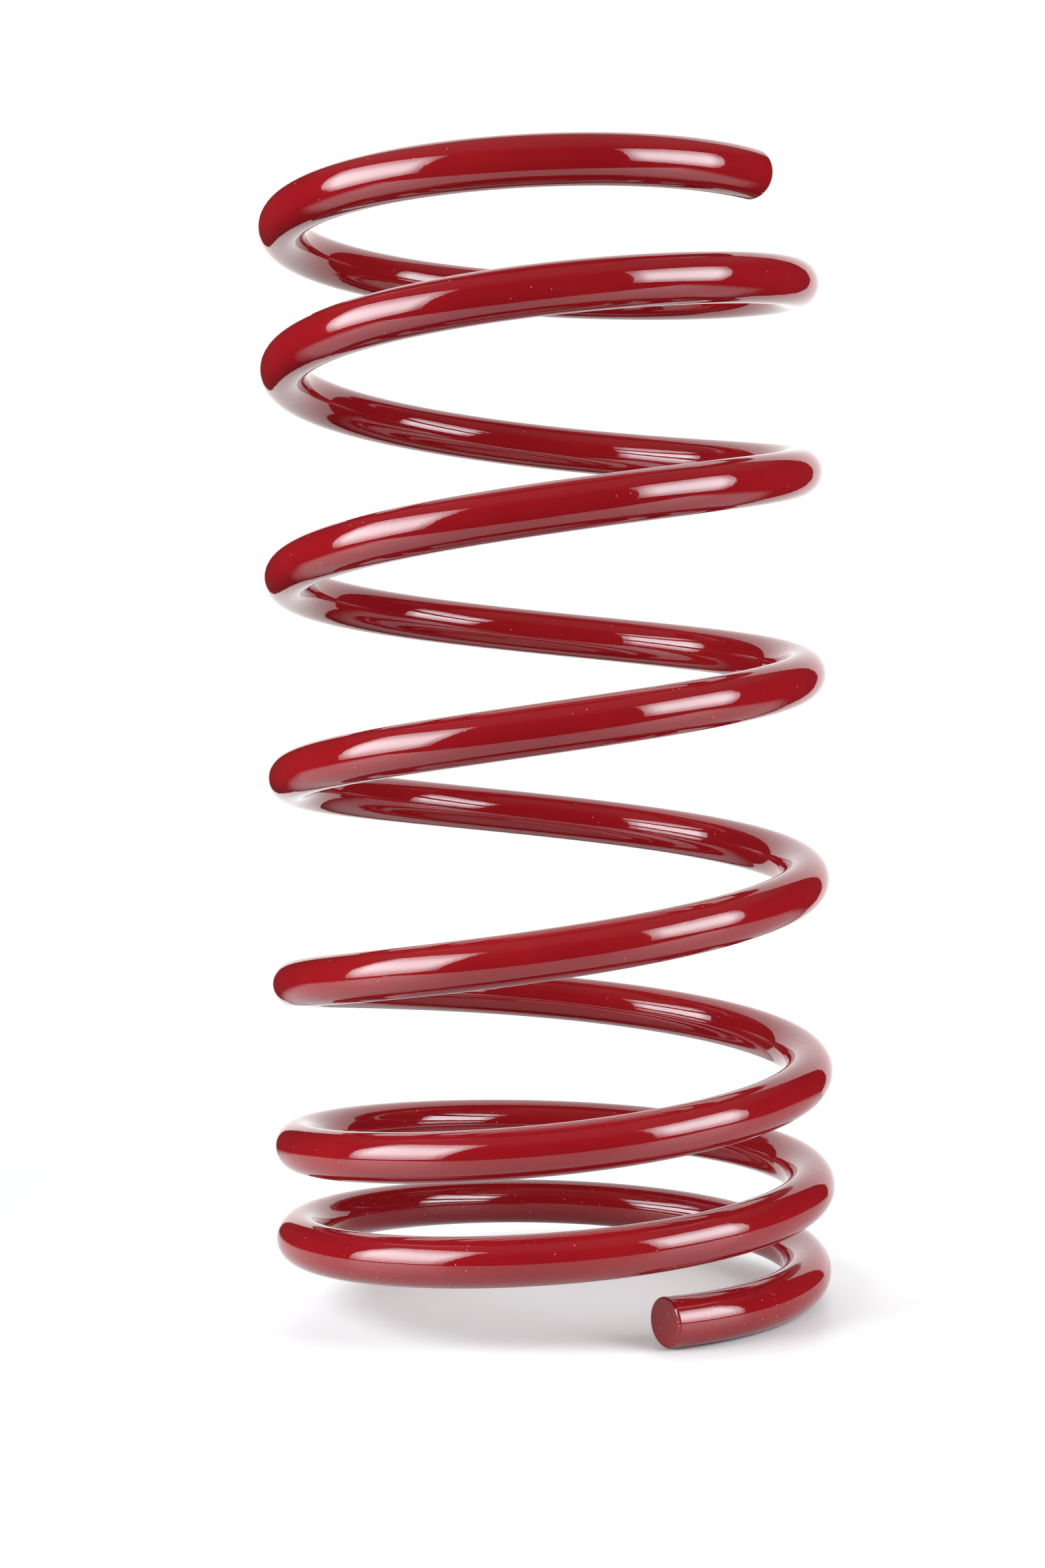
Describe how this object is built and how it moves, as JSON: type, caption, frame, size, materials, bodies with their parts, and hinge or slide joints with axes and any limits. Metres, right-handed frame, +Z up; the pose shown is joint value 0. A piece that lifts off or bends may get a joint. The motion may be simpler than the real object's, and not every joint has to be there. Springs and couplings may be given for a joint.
{
  "type": "coil spring",
  "caption": "Open-wound cylindrical suspension coil spring of round bar with plain sheared ends, coated glossy red; compresses by twisting of the bar.",
  "frame": {"origin": "on the coil's axis, at the level of the lowest point of the bottom coil", "axes": "+Z up along the coil's axis, -Y towards the viewer's side; the bar starts at the bottom right front and is wound right-handed, rising counter-clockwise seen from above"},
  "size_m": [0.1481, 0.1481, 0.2946],
  "materials": {
    "red_coat": "gloss"
  },
  "bodies": {
    "end_stretch_bottom": {"end_stretch_bottom": "red_coat"},
    "coil_1_back_right": {"coil_1_back_right": "red_coat"},
    "coil_1_back_left": {"coil_1_back_left": "red_coat"},
    "coil_1_front_left": {"coil_1_front_left": "red_coat"},
    "coil_1_front_right": {"coil_1_front_right": "red_coat"},
    "coil_2_back_right": {"coil_2_back_right": "red_coat"},
    "coil_2_back_left": {"coil_2_back_left": "red_coat"},
    "coil_2_front_left": {"coil_2_front_left": "red_coat"},
    "coil_2_front_right": {"coil_2_front_right": "red_coat"},
    "coil_3_back_right": {"coil_3_back_right": "red_coat"},
    "coil_3_back_left": {"coil_3_back_left": "red_coat"},
    "coil_3_front_left": {"coil_3_front_left": "red_coat"},
    "coil_3_front_right": {"coil_3_front_right": "red_coat"},
    "coil_4_back_right": {"coil_4_back_right": "red_coat"},
    "coil_4_back_left": {"coil_4_back_left": "red_coat"},
    "coil_4_front_left": {"coil_4_front_left": "red_coat"},
    "coil_4_front_right": {"coil_4_front_right": "red_coat"},
    "coil_5_back_right": {"coil_5_back_right": "red_coat"},
    "coil_5_back_left": {"coil_5_back_left": "red_coat"},
    "coil_5_front_left": {"coil_5_front_left": "red_coat"},
    "coil_5_front_right": {"coil_5_front_right": "red_coat"},
    "coil_6_back_right": {"coil_6_back_right": "red_coat"},
    "coil_6_back_left": {"coil_6_back_left": "red_coat"},
    "coil_6_front_left": {"coil_6_front_left": "red_coat"},
    "coil_6_front_right": {"coil_6_front_right": "red_coat"},
    "coil_7_back_right": {"coil_7_back_right": "red_coat"},
    "coil_7_back_left": {"coil_7_back_left": "red_coat"},
    "coil_7_front_left": {"coil_7_front_left": "red_coat"},
    "end_stretch_top": {"end_stretch_top": "red_coat"}
  },
  "joints": [
    {"name": "twist_coil_1_back_right", "type": "hinge", "parent": "end_stretch_bottom", "child": "coil_1_back_right", "pos_m": [0.06659, 0, 0.00739], "axis": [-0.0231, -0.9989, -0.0417], "range_deg": [0, 0.427], "stiffness_Nm_per_rad": 1790},
    {"name": "twist_coil_1_back_left", "type": "hinge", "parent": "coil_1_back_right", "child": "coil_1_back_left", "pos_m": [0, 0.06785, 0.01248], "axis": [0.9987, -0.001, -0.0507], "range_deg": [0, 1.02], "stiffness_Nm_per_rad": 1790},
    {"name": "twist_coil_1_front_left", "type": "hinge", "parent": "coil_1_back_left", "child": "coil_1_front_left", "pos_m": [-0.06783, 0, 0.01822], "axis": [-0.0002, 0.9984, -0.0568], "range_deg": [0, 1.61], "stiffness_Nm_per_rad": 1790},
    {"name": "twist_coil_1_front_right", "type": "hinge", "parent": "coil_1_front_left", "child": "coil_1_front_right", "pos_m": [0, -0.0678, 0.02458], "axis": [-0.9982, -0.0002, -0.0603], "range_deg": [0, 1.8], "stiffness_Nm_per_rad": 1790},
    {"name": "twist_coil_2_back_right", "type": "hinge", "parent": "coil_1_front_right", "child": "coil_2_back_right", "pos_m": [0.06778, 0, 0.03051], "axis": [0.0002, -0.9987, -0.0509], "range_deg": [0, 2.09], "stiffness_Nm_per_rad": 1790},
    {"name": "twist_coil_2_back_left", "type": "hinge", "parent": "coil_2_back_right", "child": "coil_2_back_left", "pos_m": [0, 0.06775, 0.03578], "axis": [0.9985, 0.0002, -0.0544], "range_deg": [0, 2.42], "stiffness_Nm_per_rad": 1790},
    {"name": "twist_coil_2_front_left", "type": "hinge", "parent": "coil_2_back_left", "child": "coil_2_front_left", "pos_m": [-0.06772, 0, 0.04245], "axis": [-0.0002, 0.9975, -0.0708], "range_deg": [0, 3.37], "stiffness_Nm_per_rad": 1790},
    {"name": "twist_coil_2_front_right", "type": "hinge", "parent": "coil_2_front_left", "child": "coil_2_front_right", "pos_m": [0, -0.0677, 0.05087], "axis": [-0.9962, -0.0002, -0.0871], "range_deg": [0, 4.8], "stiffness_Nm_per_rad": 1790},
    {"name": "twist_coil_3_back_right", "type": "hinge", "parent": "coil_2_front_right", "child": "coil_3_back_right", "pos_m": [0.06767, 0, 0.06103], "axis": [0.0002, -0.9948, -0.102], "range_deg": [0, 5.91], "stiffness_Nm_per_rad": 1790},
    {"name": "twist_coil_3_back_left", "type": "hinge", "parent": "coil_3_back_right", "child": "coil_3_back_left", "pos_m": [0, 0.06764, 0.07239], "axis": [0.9939, 0.0002, -0.1105], "range_deg": [0, 6.99], "stiffness_Nm_per_rad": 1790},
    {"name": "twist_coil_3_front_left", "type": "hinge", "parent": "coil_3_back_left", "child": "coil_3_front_left", "pos_m": [-0.06762, 0, 0.08466], "axis": [-0.0002, 0.9929, -0.119], "range_deg": [0, 7.75], "stiffness_Nm_per_rad": 1790},
    {"name": "twist_coil_3_front_right", "type": "hinge", "parent": "coil_3_front_left", "child": "coil_3_front_right", "pos_m": [0, -0.06759, 0.09785], "axis": [-0.9918, -0.0002, -0.1275], "range_deg": [0, 8.17], "stiffness_Nm_per_rad": 1790},
    {"name": "twist_coil_4_back_right", "type": "hinge", "parent": "coil_3_front_right", "child": "coil_4_back_right", "pos_m": [0.06756, 0, 0.11159], "axis": [0.0002, -0.9918, -0.1279], "range_deg": [0, 8.53], "stiffness_Nm_per_rad": 1790},
    {"name": "twist_coil_4_back_left", "type": "hinge", "parent": "coil_4_back_right", "child": "coil_4_back_left", "pos_m": [0, 0.06754, 0.12521], "axis": [0.9919, 0.0002, -0.1267], "range_deg": [0, 8.48], "stiffness_Nm_per_rad": 1790},
    {"name": "twist_coil_4_front_left", "type": "hinge", "parent": "coil_4_back_left", "child": "coil_4_front_left", "pos_m": [-0.06751, 0, 0.13868], "axis": [-0.0002, 0.9921, -0.1254], "range_deg": [0, 8.36], "stiffness_Nm_per_rad": 1790},
    {"name": "twist_coil_4_front_right", "type": "hinge", "parent": "coil_4_front_left", "child": "coil_4_front_right", "pos_m": [0, -0.06748, 0.15202], "axis": [-0.9923, -0.0002, -0.1242], "range_deg": [0, 8.25], "stiffness_Nm_per_rad": 1790},
    {"name": "twist_coil_5_back_right", "type": "hinge", "parent": "coil_4_front_right", "child": "coil_5_back_right", "pos_m": [0.06746, 0, 0.16522], "axis": [0.0002, -0.9924, -0.123], "range_deg": [0, 8.13], "stiffness_Nm_per_rad": 1790},
    {"name": "twist_coil_5_back_left", "type": "hinge", "parent": "coil_5_back_right", "child": "coil_5_back_left", "pos_m": [0, 0.06743, 0.17828], "axis": [0.9926, 0.0002, -0.1217], "range_deg": [0, 8.05], "stiffness_Nm_per_rad": 1790},
    {"name": "twist_coil_5_front_left", "type": "hinge", "parent": "coil_5_back_left", "child": "coil_5_front_left", "pos_m": [-0.0674, 0, 0.19121], "axis": [-0.0002, 0.9926, -0.1214], "range_deg": [0, 8.2], "stiffness_Nm_per_rad": 1790},
    {"name": "twist_coil_5_front_right", "type": "hinge", "parent": "coil_5_front_left", "child": "coil_5_front_right", "pos_m": [0, -0.06738, 0.20438], "axis": [-0.9921, -0.0002, -0.1254], "range_deg": [0, 8.36], "stiffness_Nm_per_rad": 1790},
    {"name": "twist_coil_6_back_right", "type": "hinge", "parent": "coil_5_front_right", "child": "coil_6_back_right", "pos_m": [0.06735, 0, 0.21798], "axis": [0.0002, -0.9916, -0.1295], "range_deg": [0, 8.71], "stiffness_Nm_per_rad": 1790},
    {"name": "twist_coil_6_back_left", "type": "hinge", "parent": "coil_6_back_right", "child": "coil_6_back_left", "pos_m": [0, 0.06732, 0.23201], "axis": [0.991, 0.0002, -0.1336], "range_deg": [0, 7.86], "stiffness_Nm_per_rad": 1790},
    {"name": "twist_coil_6_front_left", "type": "hinge", "parent": "coil_6_back_left", "child": "coil_6_front_left", "pos_m": [-0.0673, 0, 0.24531], "axis": [-0.0002, 0.9937, -0.1117], "range_deg": [0, 7.58], "stiffness_Nm_per_rad": 1790},
    {"name": "twist_coil_6_front_right", "type": "hinge", "parent": "coil_6_front_left", "child": "coil_6_front_right", "pos_m": [0, -0.06727, 0.2563], "axis": [-0.9951, -0.0002, -0.0991], "range_deg": [0, 6.14], "stiffness_Nm_per_rad": 1790},
    {"name": "twist_coil_7_back_right", "type": "hinge", "parent": "coil_6_front_right", "child": "coil_7_back_right", "pos_m": [0.06725, 0, 0.26645], "axis": [0.0002, -0.9957, -0.0921], "range_deg": [0, 5.1], "stiffness_Nm_per_rad": 1790},
    {"name": "twist_coil_7_back_left", "type": "hinge", "parent": "coil_7_back_right", "child": "coil_7_back_left", "pos_m": [0, 0.06722, 0.27577], "axis": [0.9968, 0.0002, -0.0799], "range_deg": [0, 3.28], "stiffness_Nm_per_rad": 1790},
    {"name": "twist_coil_7_front_left", "type": "hinge", "parent": "coil_7_back_left", "child": "coil_7_front_left", "pos_m": [-0.06697, 0, 0.28286], "axis": [-0.0046, 0.9985, -0.0543], "range_deg": [0, 2.12], "stiffness_Nm_per_rad": 1790},
    {"name": "twist_end_stretch_top", "type": "hinge", "parent": "coil_7_front_left", "child": "end_stretch_top", "pos_m": [0, -0.06624, 0.28716], "axis": [-0.9996, -0.0094, -0.0271], "range_deg": [0, 0.554], "stiffness_Nm_per_rad": 1790}
  ],
  "couplings": [
    {"joint": "twist_coil_1_back_right", "follows": "twist_coil_3_front_left", "ratio": 0.0547},
    {"joint": "twist_coil_1_back_left", "follows": "twist_coil_3_front_left", "ratio": 0.1315},
    {"joint": "twist_coil_1_front_left", "follows": "twist_coil_3_front_left", "ratio": 0.2073},
    {"joint": "twist_coil_1_front_right", "follows": "twist_coil_3_front_left", "ratio": 0.2318},
    {"joint": "twist_coil_2_back_right", "follows": "twist_coil_3_front_left", "ratio": 0.2693},
    {"joint": "twist_coil_2_back_left", "follows": "twist_coil_3_front_left", "ratio": 0.3117},
    {"joint": "twist_coil_2_front_left", "follows": "twist_coil_3_front_left", "ratio": 0.4337},
    {"joint": "twist_coil_2_front_right", "follows": "twist_coil_3_front_left", "ratio": 0.6183},
    {"joint": "twist_coil_3_back_right", "follows": "twist_coil_3_front_left", "ratio": 0.7606},
    {"joint": "twist_coil_3_back_left", "follows": "twist_coil_3_front_left", "ratio": 0.8999},
    {"joint": "twist_coil_3_front_right", "follows": "twist_coil_3_front_left", "ratio": 1.051},
    {"joint": "twist_coil_4_back_right", "follows": "twist_coil_3_front_left", "ratio": 1.0981},
    {"joint": "twist_coil_4_back_left", "follows": "twist_coil_3_front_left", "ratio": 1.0912},
    {"joint": "twist_coil_4_front_left", "follows": "twist_coil_3_front_left", "ratio": 1.0765},
    {"joint": "twist_coil_4_front_right", "follows": "twist_coil_3_front_left", "ratio": 1.0617},
    {"joint": "twist_coil_5_back_right", "follows": "twist_coil_3_front_left", "ratio": 1.0469},
    {"joint": "twist_coil_5_back_left", "follows": "twist_coil_3_front_left", "ratio": 1.0364},
    {"joint": "twist_coil_5_front_left", "follows": "twist_coil_3_front_left", "ratio": 1.0554},
    {"joint": "twist_coil_5_front_right", "follows": "twist_coil_3_front_left", "ratio": 1.0765},
    {"joint": "twist_coil_6_back_right", "follows": "twist_coil_3_front_left", "ratio": 1.1206},
    {"joint": "twist_coil_6_back_left", "follows": "twist_coil_3_front_left", "ratio": 1.0115},
    {"joint": "twist_coil_6_front_left", "follows": "twist_coil_3_front_left", "ratio": 0.9759},
    {"joint": "twist_coil_6_front_right", "follows": "twist_coil_3_front_left", "ratio": 0.7903},
    {"joint": "twist_coil_7_back_right", "follows": "twist_coil_3_front_left", "ratio": 0.6569},
    {"joint": "twist_coil_7_back_left", "follows": "twist_coil_3_front_left", "ratio": 0.4216},
    {"joint": "twist_coil_7_front_left", "follows": "twist_coil_3_front_left", "ratio": 0.2733},
    {"joint": "twist_end_stretch_top", "follows": "twist_coil_3_front_left", "ratio": 0.0711}
  ]
}
